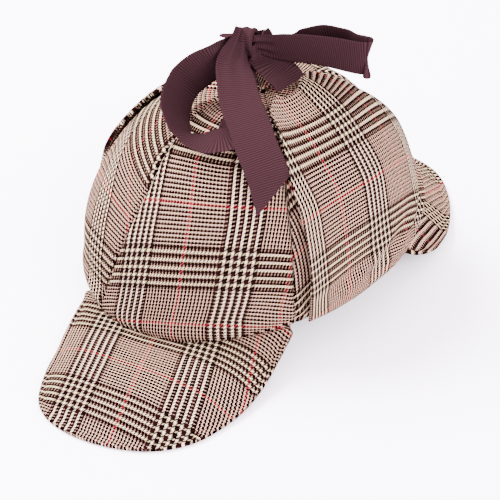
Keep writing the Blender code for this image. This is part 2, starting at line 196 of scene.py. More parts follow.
@dataclass(frozen=True)
class CrownShape:
    """The crown's outer surface, read by angle from the front and level from edge to top.

    Args:
        length: the crown from front to back.
        width: the crown from side to side.
        rise: the crown's height over its edge.
        edge_height: the edge's mean height over the table.
        edge_left: how much higher the edge is on the wearer's left.
        edge_back: how much higher the edge is behind.
        edge_arch: how much the edge arches up at both sides.
        lean_left: how far the top leans to the wearer's left.
        lean_back: how far the top leans back.
        swell: how far each gore swells between its seams.
        nudge: the step in angle and level that finds which way the surface faces.
        climb_steps: how many levels the length along the cloth is measured over.
        profile: the share of the girth and of the rise at each level.
        seams: the seams' angles at each level, in degrees from the front.
    """

    length: float = 0.1966
    width: float = 0.1850
    rise: float = 0.1040
    edge_height: float = 0.0164
    edge_left: float = 0.0102
    edge_back: float = 0.0017
    edge_arch: float = 0.0050
    lean_left: float = 0.0178
    lean_back: float = 0.0058
    swell: float = 0.0025
    nudge: float = 0.004
    climb_steps: int = 201
    profile: Table = Table(
        ("level", "reach", "height"),
        (
            (0.000, 1.000, 0.000),
            (0.125, 0.985, 0.150),
            (0.250, 0.960, 0.320),
            (0.375, 0.905, 0.490),
            (0.500, 0.808, 0.660),
            (0.625, 0.672, 0.815),
            (0.750, 0.485, 0.930),
            (0.875, 0.262, 0.985),
            (1.000, 0.000, 1.000),
        ),
    )
    seams: Table = Table(
        ("level", "front_right", "front_left", "back_left", "back_right"),
        (
            (0.00, -36, 44, 142, 218),
            (0.20, -29, 44, 142, 217),
            (0.40, -26, 43, 143, 216),
            (0.55, -27, 41, 144, 216),
            (0.70, -36, 39, 145, 217),
            (0.85, -54, 36, 147, 220),
            (1.00, -75, 30, 150, 225),
        ),
    )

    def edge(self, angle: Array) -> Array:
        """Height of the crown's lower edge above the table."""
        tilt = self.edge_left * np.sin(angle) - self.edge_back * np.cos(angle)
        return self.edge_height + tilt + self.edge_arch * np.sin(angle) ** 2

    def puff(self, angle: Array, level: Array) -> Array:
        """How far the cloth swells between its seams."""
        turn = np.degrees(np.mod(angle, math.tau))
        lines = [self.seams.read(name, level) for name in self.seams.names[1:]]
        lines += [line + FULL_TURN for line in lines[:2]]
        swell = np.zeros(np.broadcast(turn, level).shape)
        for low, high in zip(lines, lines[1:]):
            share = np.clip((turn - low) / (high - low), 0.0, 1.0)
            swell = np.maximum(swell, np.sin(math.pi * share) * ((turn >= low) & (turn <= high)))
        return self.swell * swell * np.sin(math.pi * np.clip(level, 0.0, 1.0)) ** 0.5

    def skin(self, angle: Array, level: Array) -> Array:
        """Points on the surface itself."""
        angle, level = np.broadcast_arrays(np.asarray(angle, float), np.asarray(level, float))
        reach = self.profile.read("reach", level)
        height = self.profile.read("height", level)
        swell = self.puff(angle, level)
        x = (self.width / 2 * reach + swell) * np.sin(angle) + self.lean_left * height**2
        y = -(self.length / 2 * reach + swell) * np.cos(angle) + self.lean_back * height**2
        z = self.edge(angle) * (1 - height) + (self.edge_height + self.rise) * height
        return np.stack([x, y, z], axis=-1)

    def point(self, angle: Array, level: Array, proud: Array | float = 0.0) -> Array:
        """Points held off the surface, square to it.

        Args:
            angle: angles from the front, in radians.
            level: levels from the edge to the top.
            proud: heights off the surface, in metres.

        Returns:
            The points.
        """
        nudge = self.nudge
        angle, level, proud = np.broadcast_arrays(
            np.asarray(angle, float), np.asarray(level, float), np.asarray(proud, float)
        )
        inner = np.clip(level, 0.0, 1.0 - 2 * nudge)
        along = self.skin(angle + nudge, inner) - self.skin(angle - nudge, inner)
        upward = self.skin(angle, inner + nudge) - self.skin(angle, np.maximum(inner - nudge, 0.0))
        return self.skin(angle, level) + unit(np.cross(along, upward)) * proud[..., None]

    def girth(self, level: Array) -> Array:
        """The mean radius at a level."""
        return self.profile.read("reach", level) * (self.width + self.length) / 4

    def climb(self, level: Array) -> Array:
        """Length along the cloth from the edge up to a level."""
        fine = np.linspace(0.0, 1.0, self.climb_steps)
        up = self.profile.read("height", fine) * self.rise
        steps = np.hypot(np.diff(self.girth(fine)), np.diff(up))
        return np.interp(level, fine, np.concatenate([[0.0], np.cumsum(steps)]))


@dataclass(frozen=True)
class Lay:
    """How the check lies on a panel of the crown or on a flap.

    Args:
        line: levels, and the angle in degrees of one upright thread there.
        thread: which thread of the repeat that is.
        row_level: the level at which a red row crosses the line.
        bow: how much the rows droop to both sides, per metre.
        middle: where along a row it stands highest, from the line.
        tilt: how much the rows climb towards the wearer's left.
        pitch: the pitch of the upright threads on this piece.
        row_pitch: the pitch of its rows.
        crowding: how much the upright threads crowd towards the front, per metre.
        shortening: how much the rows crowd downwards, per metre.
        turned: whether the cloth lies upside down.
    """

    line: Table
    thread: float
    row_level: float
    bow: float = 4.2
    middle: float = 0.008
    tilt: float = 0.0
    pitch: float = 0.00051
    row_pitch: float = 0.00056
    crowding: float = 0.0
    shortening: float = 0.0
    turned: bool = False

    def threads(self, crown: CrownShape, angle: Array, level: Array) -> Array:
        """Thread numbers across and along the cloth.

        Args:
            crown: the crown under the cloth.
            angle: angles from the front, in radians.
            level: levels from the edge to the top.

        Returns:
            Two numbers for each point.
        """
        across = (angle - np.radians(self.line.read("angle", level))) * crown.girth(level)
        along = crown.climb(level) - crown.climb(self.row_level)
        along = along + self.bow * (across - self.middle) ** 2 - self.bow * self.middle**2
        along = along - self.tilt * across
        along = along - self.shortening * along**2
        across = across + self.crowding * across * np.minimum(across, 0.0) * np.sign(across)
        way = -1.0 if self.turned else 1.0
        red = GlenCheck.red_thread
        return np.stack(
            [self.thread + way * across / self.pitch, red + way * along / self.row_pitch], -1
        )


@dataclass(frozen=True)
class GlenCheck:
    """The woven check: a two-and-two twill of bold and fine stripes with a red overcheck.

    Args:
        bold: threads in the bold section.
        repeat: threads in the whole repeat.
        red_thread: where the red overcheck lies in the repeat.
        red_half: half the red overcheck's width, in threads.
        twill: threads in one repeat of the weave.
        twill_up: the last thread of the repeat, and a half, that goes over.
        bold_stripe: threads in one dark and one light stripe of the bold section.
        bold_threads: the dark ones of them.
        fine_stripe: threads in one dark and one light stripe of the fine section.
        fine_threads: the dark ones of them.
        swelling: how far the fine dark yarns swell into the light ones, in threads.
        bold_swelling: the same for the bold section.
        cover_shade: how much bold dark threads shade the light ones they cross.
        painted_valley_shade: the share of the colour left in the painted shade between threads.
        painted_crest_light: how much lighter the painted light makes the threads' crests.
        drift_scale: how fast the dye changes from thread to thread.
        drift_detail: how rough that change is.
        drift_low: the darkest dye.
        drift_reach: how much lighter the lightest dye is.
        roughness: how matt the yarn is.
        relief_strength: how strongly the threads' height turns the light.
        relief_depth: the height of a thread.
        cream: light warp threads of the bold section.
        straw: light weft threads of the bold section.
        tan: light threads of the fine section.
        black: dark warp threads.
        brown: dark weft threads, and every other dark warp stripe of the bold section.
        red: the overcheck.
    """

    name: str = "glen_check"
    bold: float = 44.0
    repeat: float = 122.0
    red_thread: float = 83.0
    red_half: float = 1.0
    twill: float = 4.0
    twill_up: float = 1.5
    bold_stripe: float = 8.0
    bold_threads: float = 4.0
    fine_stripe: float = 4.0
    fine_threads: float = 2.0
    swelling: float = 0.45
    bold_swelling: float = 0.65
    cover_shade: float = 0.58
    painted_valley_shade: float = 0.16
    painted_crest_light: float = 1.05
    drift_scale: float = 0.35
    drift_detail: float = 3.0
    drift_low: float = 0.88
    drift_reach: float = 0.24
    roughness: float = 0.88
    relief_strength: float = 0.35
    relief_depth: float = 0.0002
    cream: Triple = (0.88, 0.690, 0.480)
    straw: Triple = (0.64, 0.480, 0.300)
    tan: Triple = (0.530, 0.335, 0.240)
    black: Triple = (0.0006, 0.0003, 0.0004)
    brown: Triple = (0.0080, 0.0018, 0.0020)
    red: Triple = (0.150, 0.006, 0.012)

    def build(self) -> bpy.types.Material:
        """Makes the material from thread numbers in the UV map."""
        made = bpy.data.materials.new(self.name)
        made.use_nodes = True
        wire = Wiring(made.node_tree)
        _, across, along = wire.chart("threads")
        warp_cover, weft_cover = self.bold_dark(wire, across), self.bold_dark(wire, along)
        warp = self.thread_colour(wire, across, self.black, self.cream, weft_cover)
        weft = self.thread_colour(wire, along, self.brown, self.straw, warp_cover)
        lead = wire.math("SUBTRACT", wire.floor(across), wire.floor(along))
        warp_up = wire.math("LESS_THAN", wire.modulo(lead, self.twill), self.twill_up)
        height = self.relief(wire, across, along, warp_up)
        # The relief's height also paints shade between the threads and light on their crests.
        colour = self.dye_and_paint_thread_shade(wire, wire.mix(warp_up, weft, warp), across, along, height)
        wire.dress(colour, height, self.roughness, self.relief_strength, self.relief_depth)
        return made

    def stripes(self, wire: "Wiring", count: Socket) -> tuple[Socket, Socket, Socket]:
        """Places a thread in the check.

        Args:
            wire: the material's wiring.
            count: the thread's running number.

        Returns:
            Its place in the repeat, whether that is in the bold section, and whether it is dark there.
        """
        grown = self.bold_swelling
        place = wire.modulo(wire.sum(count, grown), self.repeat)
        in_bold = wire.math("LESS_THAN", place, self.bold + 2 * grown)
        stripe = wire.modulo(place, self.bold_stripe)
        return place, in_bold, wire.math("LESS_THAN", stripe, self.bold_threads + 2 * grown)

    def bold_dark(self, wire: "Wiring", count: Socket) -> Socket:
        """Whether a thread is a dark one of the bold section, by its number."""
        _, in_bold, dark = self.stripes(wire, count)
        return wire.math("MULTIPLY", in_bold, dark)

    def thread_colour(
        self,
        wire: "Wiring",
        count: Socket,
        fine: Triple,
        bold_light: Triple,
        cover: Socket,
    ) -> Socket:
        """Colour of one thread by its number.

        Args:
            wire: the material's wiring.
            count: the thread's running number.
            fine: the colour of the dark pairs in the fine section.
            bold_light: the colour of the light threads in the bold section.
            cover: whether it crosses a bold dark thread.

        Returns:
            The socket that carries the colour.
        """
        grown, fine_grown = self.bold_swelling, self.swelling
        place, in_bold, bold_dark = self.stripes(wire, count)
        fine_from = self.bold + self.fine_threads + grown - fine_grown
        fine_place = wire.modulo(wire.math("SUBTRACT", place, fine_from), self.fine_stripe)
        fine_dark = wire.math("LESS_THAN", fine_place, self.fine_threads + 2 * fine_grown)
        dark = wire.mix_value(in_bold, fine_dark, bold_dark)
        pair = wire.modulo(place, 2 * self.bold_stripe)
        second = wire.math("GREATER_THAN", pair, self.bold_stripe)
        deep = wire.mix(in_bold, fine, wire.mix(second, self.brown, fine))
        open_share = wire.math("MULTIPLY_ADD", cover, -self.cover_shade, 1.0)
        light = wire.tint(wire.mix(in_bold, self.tan, bold_light), open_share)
        colour = wire.mix(dark, light, deep)
        near_red = wire.math("ABSOLUTE", wire.math("SUBTRACT", place, self.red_thread + grown))
        in_red = wire.math("LESS_THAN", near_red, self.red_half + fine_grown)
        return wire.mix(in_red, colour, self.red)

    def dye_and_paint_thread_shade(
        self,
        wire: "Wiring",
        colour: Socket,
        across: Socket,
        along: Socket,
        height: Socket,
    ) -> Socket:
        """Slightly uneven dye, with painted shade between threads and painted light on their crests.

        Args:
            wire: the material's wiring.
            colour: the threads' own colour.
            across: the running number of the upright threads.
            along: the running number of the rows.
            height: the threads' relief, which also sets the painted shade and light.

        Returns:
            The socket that carries the shaded colour.
        """
        uneven = wire.node("ShaderNodeTexNoise")
        uneven.inputs["Scale"].default_value = self.drift_scale
        uneven.inputs["Detail"].default_value = self.drift_detail
        join = wire.node("ShaderNodeCombineXYZ")
        wire.join(across, join.inputs[0])
        wire.join(along, join.inputs[1])
        wire.join(join.outputs[0], uneven.inputs["Vector"])
        # Painted shade: darker in the valleys between threads, lighter on their crests.
        shade = wire.math("MULTIPLY_ADD", height, self.painted_crest_light, self.painted_valley_shade)
        drift = wire.math("MULTIPLY_ADD", uneven.outputs["Fac"], self.drift_reach, self.drift_low)
        return wire.tint(colour, wire.math("MULTIPLY", shade, drift))

    def relief(
        self,
        wire: "Wiring",
        across: Socket,
        along: Socket,
        warp_up: Socket,
    ) -> Socket:
        """Round threads: high in the middle of each float, low between neighbours.

        Args:
            wire: the material's wiring.
            across: the running number of the upright threads.
            along: the running number of the rows.
            warp_up: whether an upright thread lies on top.

        Returns:
            The socket that carries the height.
        """
        over_warp, over_weft = (
            wire.math("SINE", wire.math("MULTIPLY", wire.math("FRACT", place), math.pi))
            for place in (across, along)
        )
        warp_float = wire.math("SUBTRACT", wire.sum(wire.floor(across), 1.0), along)
        weft_float = wire.math("SUBTRACT", across, wire.sum(wire.floor(along), self.twill / 2))
        half_turn = math.pi / (self.twill / 2)
        warp_arch, weft_arch = (
            wire.math("SINE", wire.math("MULTIPLY", wire.modulo(place, self.twill), half_turn))
            for place in (warp_float, weft_float)
        )
        return wire.mix_value(
            warp_up,
            wire.math("MULTIPLY", over_weft, weft_arch),
            wire.math("MULTIPLY", over_warp, warp_arch),
        )


@dataclass(frozen=True)
class Grosgrain:
    """Ribbed ribbon; the UV map holds metres across and along it.

    Args:
        rib_pitch: from rib to rib.
        rib_highlight_share: how much painted highlight lightens the colour on each rib.
        fibre_share: how much the fibres lighten it.
        fibre_scale: how fine the fibres are.
        fibre_detail: how rough the fibres are.
        roughness: how matt the ribbon is.
        relief_strength: how strongly the ribs' height turns the light.
        relief_depth: the height of a rib.
        base: the colour between ribs, without painted highlight.
        light: the lighter colour, from painted highlight on the ribs and from lighter fibres.
    """

    name: str = "grosgrain"
    rib_pitch: float = 0.00125
    rib_highlight_share: float = 0.75
    fibre_share: float = 0.3
    fibre_scale: float = 900.0
    fibre_detail: float = 2.0
    roughness: float = 0.55
    relief_strength: float = 0.30
    relief_depth: float = 0.0002
    base: Triple = (0.0064, 0.0021, 0.0027)
    light: Triple = (0.0205, 0.0092, 0.0112)

    def build(self) -> bpy.types.Material:
        """Makes the material."""
        made = bpy.data.materials.new(self.name)
        made.use_nodes = True
        wire = Wiring(made.node_tree)
        place, _, along = wire.chart("metres")
        turn = wire.math("MULTIPLY", along, math.tau / self.rib_pitch)
        rib = wire.math("MULTIPLY_ADD", wire.math("SINE", turn), 0.5, 0.5)
        fibre = wire.node("ShaderNodeTexNoise")
        fibre.inputs["Scale"].default_value = self.fibre_scale
        fibre.inputs["Detail"].default_value = self.fibre_detail
        wire.join(place, fibre.inputs["Vector"])
        # Painted highlight: the colour lightens on every rib, in step with the bump.
        ribs = wire.math("MULTIPLY", rib, self.rib_highlight_share)
        mixed = wire.math("MULTIPLY_ADD", fibre.outputs["Fac"], self.fibre_share, ribs)
        colour = wire.mix(mixed, self.base, self.light)
        wire.dress(colour, rib, self.roughness, self.relief_strength, self.relief_depth)
        return made


class Wiring:
    """Short calls for building a material's nodes; the numbers are sockets of the mix and scale nodes."""

    colour_ends = (6, 7)
    colour_out = 2
    value_ends = (2, 3)
    scale_factor = 3

    def __init__(self, tree: bpy.types.NodeTree) -> None:
        """Keeps the tree that the nodes go into."""
        self.tree = tree

    def chart(self, layer: str) -> tuple[Socket, Socket, Socket]:
        """Reads a UV map: the place, and its two numbers one by one."""
        place = self.node("ShaderNodeUVMap", uv_map=layer).outputs["UV"]
        split = self.node("ShaderNodeSeparateXYZ")
        self.join(place, split.inputs[0])
        return place, split.outputs["X"], split.outputs["Y"]

    def dress(
        self, colour: Socket, height: Socket, roughness: float, strength: float, depth: float
    ) -> None:
        """Puts a colour and a relief on the material's shader, without gloss.

        Args:
            colour: the surface colour.
            height: the relief, from 0 to 1.
            roughness: how matt the surface is.
            strength: how strongly the relief turns the light.
            depth: the relief's full height.
        """
        shader = self.tree.nodes["Principled BSDF"]
        self.join(colour, shader.inputs["Base Color"])
        shader.inputs["Roughness"].default_value = roughness
        shader.inputs["Specular IOR Level"].default_value = 0.0
        relief = self.node("ShaderNodeBump")
        relief.inputs["Strength"].default_value = strength
        relief.inputs["Distance"].default_value = depth
        self.join(height, relief.inputs["Height"])
        self.join(relief.outputs["Normal"], shader.inputs["Normal"])

    def node(self, kind: str, **settings: object) -> bpy.types.Node:
        """Adds a node and sets its properties."""
        made = self.tree.nodes.new(kind)
        for name, value in settings.items():
            setattr(made, name, value)
        return made

    def join(self, source: Socket, target: Socket) -> None:
        """Links two sockets."""
        self.tree.links.new(source, target)

    def feed(self, socket: Socket, value: object) -> None:
        """Links a socket or sets a constant on it."""
        if isinstance(value, Socket):
            self.join(value, socket)
        elif isinstance(value, tuple) and socket.type == "VECTOR":
            socket.default_value = value
        elif isinstance(value, tuple):
            socket.default_value = (*value, 1.0)
        else:
            socket.default_value = value

    def math(self, operation: str, *values: object) -> Socket:
        """A maths node."""
        made = self.node("ShaderNodeMath", operation=operation)
        for socket, value in zip(made.inputs, values):
            self.feed(socket, value)
        return made.outputs[0]

    def floor(self, value: object) -> Socket:
        """Rounds down."""
        return self.math("FLOOR", value)

    def modulo(self, value: object, size: float) -> Socket:
        """What is left after whole repeats."""
        return self.math("FLOORED_MODULO", value, size)

    def sum(self, a: object, b: object) -> Socket:
        """Adds two values."""
        return self.math("ADD", a, b)

    def mix(self, share: object, a: object, b: object) -> Socket:
        """Mixes two colours."""
        made = self.node("ShaderNodeMix", data_type="RGBA")
        self.feed(made.inputs[0], share)
        for end, value in zip(self.colour_ends, (a, b)):
            self.feed(made.inputs[end], value)
        return made.outputs[self.colour_out]

    def mix_value(self, share: object, a: object, b: object) -> Socket:
        """Mixes two numbers."""
        made = self.node("ShaderNodeMix", data_type="FLOAT")
        self.feed(made.inputs[0], share)
        for end, value in zip(self.value_ends, (a, b)):
            self.feed(made.inputs[end], value)
        return made.outputs[0]

    def tint(self, colour: object, strength: object) -> Socket:
        """Makes a colour darker or lighter."""
        made = self.node("ShaderNodeVectorMath", operation="SCALE")
        self.feed(made.inputs[0], colour)
        self.feed(made.inputs[self.scale_factor], strength)
        return made.outputs[0]


def loop_faces(rows: int, size: int) -> list[list[int]]:
    """Faces between a row of closed loops, with both ends capped.

    Args:
        rows: how many loops there are.
        size: how many points each has.

    Returns:
        Lists of point numbers.
    """
    ring = np.arange(size)
    after = (ring + 1) % size
    faces = []
    for i in range(rows - 1):
        here, there = i * size, (i + 1) * size
        block = np.stack([here + ring, here + after, there + after, there + ring], -1)
        faces.extend(block.tolist())
    for i, flip in ((0, True), (rows - 1, False)):
        for k in range((size - 1) // 2):
            corners = dict.fromkeys((k, k + 1, size - 2 - k, size - 1 - k))
            face = [i * size + corner for corner in corners]
            faces.append(face[::-1] if flip else face)
    return faces


@dataclass
class Workshop:
    """Turns grids of points into pieces of the hat.

    Args:
        shift: from the crown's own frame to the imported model's.
        finishes: the material for each slot.
    """

    shift: Array
    finishes: dict[Finish, bpy.types.Material]

    def loft(
        self, name: str, loops: Array, uvs: Array, layer: str, finish: Finish, node: str
    ) -> bpy.types.Object:
        """A closed body from a row of closed loops, capped at both ends.

        Args:
            name: the piece's name.
            loops: points, one row for each loop.
            uvs: two numbers for each point.
            layer: the UV map's name.
            finish: the slot whose material it wears.
            node: the CAD node it stands for.

        Returns:
            The finished object, riding on the root body.
        """
        points = loops.reshape(-1, 3) + self.shift
        mesh = bpy.data.meshes.new(name)
        mesh.from_pydata(points.tolist(), [], loop_faces(*loops.shape[:2]))
        mesh.validate()
        chart = mesh.uv_layers.new(name=layer)
        corners = np.zeros(len(mesh.loops), dtype=np.int32)
        mesh.loops.foreach_get("vertex_index", corners)
        chart.data.foreach_set("uv", uvs.reshape(-1, 2)[corners].ravel())
        made = add_object(name, mesh)
        mesh.materials.append(self.finishes[finish])
        self.turn_out(made)
        mesh.shade_smooth()
        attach(made, "root")
        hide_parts(node)
        log.info("%s: %d faces", name, len(mesh.polygons))
        return made

    def turn_out(self, made: bpy.types.Object) -> None:
        """Turns the faces outwards."""
        mesh = made.data
        mesh.calc_loop_triangles()
        points = np.array([corner.co[:] for corner in mesh.vertices])
        corners = np.array([tri.vertices[:] for tri in mesh.loop_triangles])
        a, b, c = (points[corners[:, k]] for k in range(3))
        if float((a * np.cross(b, c)).sum()) < 0:
            mesh.flip_normals()


@dataclass(frozen=True)
class Cloth:
    """Sizes of a doubled panel's edge.

    Args:
        thickness: the panel's full thickness.
        edge: how far in from the edge it rounds over.
    """

    thickness: float
    edge: float

    def rounding(self, distance: Array) -> Array:
        """Share of the full thickness at a distance from the panel's edge."""
        inside = np.clip(distance / self.edge, 0.0, 1.0)
        return np.sqrt(np.clip(1 - (1 - inside) ** 2, 0.0, 1.0))


def band(values: Array) -> Array:
    """Values from 0 to 1, packed closer together at both ends."""
    turn = math.pi * (END_SHARE + (1 - 2 * END_SHARE) * values)
    return 0.5 - 0.5 * np.cos(turn) / math.cos(math.pi * END_SHARE)


@dataclass
class Gore:
    """One panel of the crown, between two seams.

    Args:
        name: the CAD node's name.
        low: the seam it starts at, and a whole turn to add.
        high: the seam it ends at, and a whole turn to add.
        lay: how the check lies on it.
        seed: makes its small waves its own.
        columns: cells from seam to seam.
        rows: cells from the edge to the top.
        top_level: the level at which the panels' tips end, under the knot.
        thickness: the cloth's thickness.
        seam_gap: the gap between two panels.
        least_girth: keeps that gap small at the tips.
        tuck: how far the hem goes down behind what is sewn to it.
        groove: the seam's groove.
        roll: the cloth's rise beside it.
        pucker: the puckers beside it.
        pucker_pace: how far one pucker is from the next, over a whole turn.
        pucker_drift: how slowly that changes.
        pucker_start: makes the puckers of each panel its own.
        waves: the cloth's gentle waves.
        hem: the pull of the hem's stitches.
        hem_roll: the cloth's rise over the hem.
    """

    name: str
    low: tuple[str, float]
    high: tuple[str, float]
    lay: Lay
    seed: float
    columns: int = 90
    rows: int = 96
    top_level: float = 0.985
    thickness: float = 0.0020
    seam_gap: float = 0.0003
    least_girth: float = 0.0012
    tuck: float = 0.0022
    groove: Ridge = Ridge(-0.0010, 0.0, 0.0011)
    roll: Ridge = Ridge(0.00035, 0.0032, 0.0016)
    pucker: Ridge = Ridge(0.00022, 0.0, 0.0075)
    pucker_pace: float = 0.0042
    pucker_drift: float = 0.011
    pucker_start: float = 3.0
    waves: Waves = Waves(0.00045, 6.0, 7.0, 0.02)
    hem: Ridge = Ridge(-0.0012, 0.0, 0.012)
    hem_roll: Ridge = Ridge(0.0010, 0.05, 0.035)

    def relief(self, crown: CrownShape, share: Array, level: Array, span: Array) -> Array:
        """Seam grooves, puckers beside them, and gentle waves in the cloth.

        Args:
            crown: the crown's shape.
            share: shares of the way from seam to seam.
            level: levels from the edge to the top.
            span: the angle from seam to seam at each level.

        Returns:
            Heights over the smooth crown.
        """
        reach = np.minimum(share, 1 - share) * crown.girth(level) * span
        pull = self.groove.read(reach) + self.roll.read(reach)
        climb = crown.climb(level)
        turn = climb / self.pucker_pace + self.seed * self.pucker_start
        pucker = np.sin(turn + np.sin(climb / self.pucker_drift)) * self.pucker.read(reach)
        wave = self.waves.read(share, level, self.seed) * self.waves.share(reach)
        return pull + pucker + wave + self.hem.read(level) + self.hem_roll.read(level)

    def build(self, crown: CrownShape, shop: Workshop) -> bpy.types.Object:
        """Makes the panel.

        Args:
            crown: the crown's shape.
            shop: where pieces are made.

        Returns:
            The finished object.
        """
        level = np.linspace(0.0, self.top_level, self.rows + 1)[:, None]
        share = np.linspace(0.0, 1.0, self.columns + 1)[None, :]
        low = np.radians(crown.seams.read(self.low[0], level) + self.low[1])
        high = np.radians(crown.seams.read(self.high[0], level) + self.high[1])
        inset = self.seam_gap / 2 / np.maximum(crown.girth(level), self.least_girth)
        angle = (low + inset) * (1 - share) + (high - inset) * share
        proud = self.relief(crown, share, level, high - low)
        outer = crown.point(angle, level, proud)
        inner = crown.point(angle, level, -self.thickness)
        loops = around(outer, inner)
        loops[0, :, 2] -= self.tuck
        threads = self.lay.threads(crown, angle, np.broadcast_to(level, angle.shape))
        uvs = around(threads, threads)
        return shop.loft(self.name + "_cloth", loops, uvs, "threads", Finish.CHECK, self.name)


@dataclass
class Flap:
    """An ear flap of double cloth, folded up from the crown's edge.

    Args:
        name: the CAD node's name.
        side: the wearer's side.
        edges: levels, with the front and back edges' angles and the height off the crown.
        lay: how the check lies on it.
        seed: makes its small waves its own.
        buckle: how high the folds over its lower edge stand.
        columns: cells from front to back.
        rows: cells from the lower edge to the top.
        cloth: the doubled cloth's edge.
        least_edge: keeps the cloth from coming to a point at its edge.
        stand: how far it stands off the crown, times the table's share.
        front_lift: how much farther its front edge stands off.
        front_pace: one over the share of its width that lifts.
        front_level: the level from which it lifts in full.
        back_swell: how much farther its lower rear corner stands off.
        back_pace: how fast that grows towards the back.
        back_start: how far back it starts.
        back_place: how high up it lies.
        touch_gap: the gap to the crown where it lies closest.
        stitch: the pull of its stitches.
        folds: where the folds lie.
        fold_pace: how many folds there are, over a whole turn.
        fold_wander: how far they wander on their way up.
        fold_sway: how often they wander.
        waves: the cloth's gentle waves.
    """

    name: str
    side: Side
    edges: Table
    lay: Lay
    seed: float
    buckle: float = 0.0008
    columns: int = 100
    rows: int = 120
    cloth: Cloth = Cloth(0.0030, 0.0026)
    least_edge: float = 0.00005
    stand: float = 0.0050
    front_lift: float = 0.0035
    front_pace: float = 5.0
    front_level: float = 0.2
    back_swell: float = 0.0
    back_pace: float = 1.6
    back_start: float = 0.6
    back_place: Ridge = Ridge(1.0, 0.06, 0.16)
    touch_gap: float = 0.0003
    stitch: Ridge = Ridge(-0.0004, 0.0060, 0.0009)
    folds: Ridge = Ridge(1.0, 0.10, 0.10)
    fold_pace: float = 21.0
    fold_wander: float = 2.2
    fold_sway: float = 19.0
    waves: Waves = Waves(0.0005, 7.0, 8.0, 0.012)

    def lift(self, turn: Array, level: Array) -> Array:
        """How far the flap stands off the crown.

        Args:
            turn: shares of the way from its front edge to its back edge.
            level: levels from the edge to the top.

        Returns:
            The gap under it.
        """
        front = np.clip(1 - turn * self.front_pace, 0.0, 1.0) ** 2
        high = np.clip(level / self.front_level, 0.0, 1.0)
        back = np.clip(turn * self.back_pace - self.back_start, 0.0, 1.0)
        swell = self.back_swell * back * self.back_place.read(level)
        stand = self.edges.read("stand", level) * self.stand
        return self.touch_gap + stand + self.front_lift * front * high + swell

    def relief(self, turn: Array, level: Array, from_edge: Array) -> Array:
        """Stitches, gentle waves and the folds over the lower edge.

        Args:
            turn: shares of the way from its front edge to its back edge.
            level: levels from the edge to the top.
            from_edge: distances from its nearest edge.

        Returns:
            Heights over the smooth cloth.
        """
        wander = self.fold_wander * np.sin(level * self.fold_sway)
        fold = self.folds.read(level) * np.sin(turn * self.fold_pace + self.seed + wander)
        wave = self.waves.read(turn, level, self.seed)
        height = self.stitch.read(from_edge) + wave + self.buckle * fold
        return height * self.waves.share(from_edge)

    def sheet(self, crown: CrownShape, turn: Array, level: Array, skin: float) -> tuple[Array, Array]:
        """One face of the flap.

        Args:
            crown: the crown's shape.
            turn: shares of the way from its front edge to its back edge.
            level: levels from the edge to the top.
            skin: 0 for its inner face and 1 for its outer face.

        Returns:
            The points, and their angles from the front.
        """
        low_angle = np.radians(self.edges.read("front", level))
        high_angle = np.radians(self.edges.read("back", level))
        angle = self.side.value * (low_angle * (1 - turn) + high_angle * turn)
        width = crown.girth(level) * (high_angle - low_angle)
        climb = crown.climb(level)
        from_ends = np.minimum(climb - climb.min(), climb.max() - climb)
        from_edge = np.minimum(np.minimum(turn, 1 - turn) * width, from_ends)
        round_off = self.cloth.rounding(from_edge + self.least_edge)
        middle = self.lift(turn, level) + self.cloth.thickness / 2
        proud = middle + (skin - 0.5) * self.cloth.thickness * round_off
        proud = proud + self.relief(turn, level, from_edge) * skin
        return crown.point(angle, level, proud), angle

    def build(self, crown: CrownShape, shop: Workshop) -> bpy.types.Object:
        """Makes the flap.

        Args:
            crown: the crown's shape.
            shop: where pieces are made.

        Returns:
            The finished object.
        """
        levels = self.edges.column("level")
        climb = band(np.linspace(0.0, 1.0, self.rows + 1))[:, None]
        turn = band(np.linspace(0.0, 1.0, self.columns + 1))[None, :]
        turn, level = np.broadcast_arrays(turn, levels[0] + (levels[-1] - levels[0]) * climb)
        outer, angle = self.sheet(crown, turn, level, 1.0)
        inner, _ = self.sheet(crown, turn, level, 0.0)
        threads = self.lay.threads(crown, angle, level)
        loops, uvs = around(outer, inner), around(threads, threads)
        return shop.loft(self.name + "_cloth", loops, uvs, "threads", Finish.CHECK, self.name)


@dataclass(frozen=True)
class PeakLay:
    """How the check lies on a peak, in plan.

    Args:
        line: how far out from the middle of the hat, and where a red thread lies across it.
        row: how far out the red row crosses that line.
        bow: how much the rows bend back to both sides, per metre.
        tilt: how much they reach farther out towards the wearer's left.
        pitch_across: the pitch of the threads across the peak.
        pitch_along: the pitch of the rows.
    """

    line: Table
    row: float
    bow: float = 2.0
    tilt: float = 0.0
    pitch_across: float = 0.00050
    pitch_along: float = 0.00050

    def threads(self, out: Array, across: Array) -> Array:
        """Thread numbers for points given in plan."""
        side = across - self.line.read("across", out)
        along = self.row - out + self.bow * side**2 + self.tilt * side
        red = GlenCheck.red_thread
        return np.stack([red + side / self.pitch_across, red + along / self.pitch_along], -1)


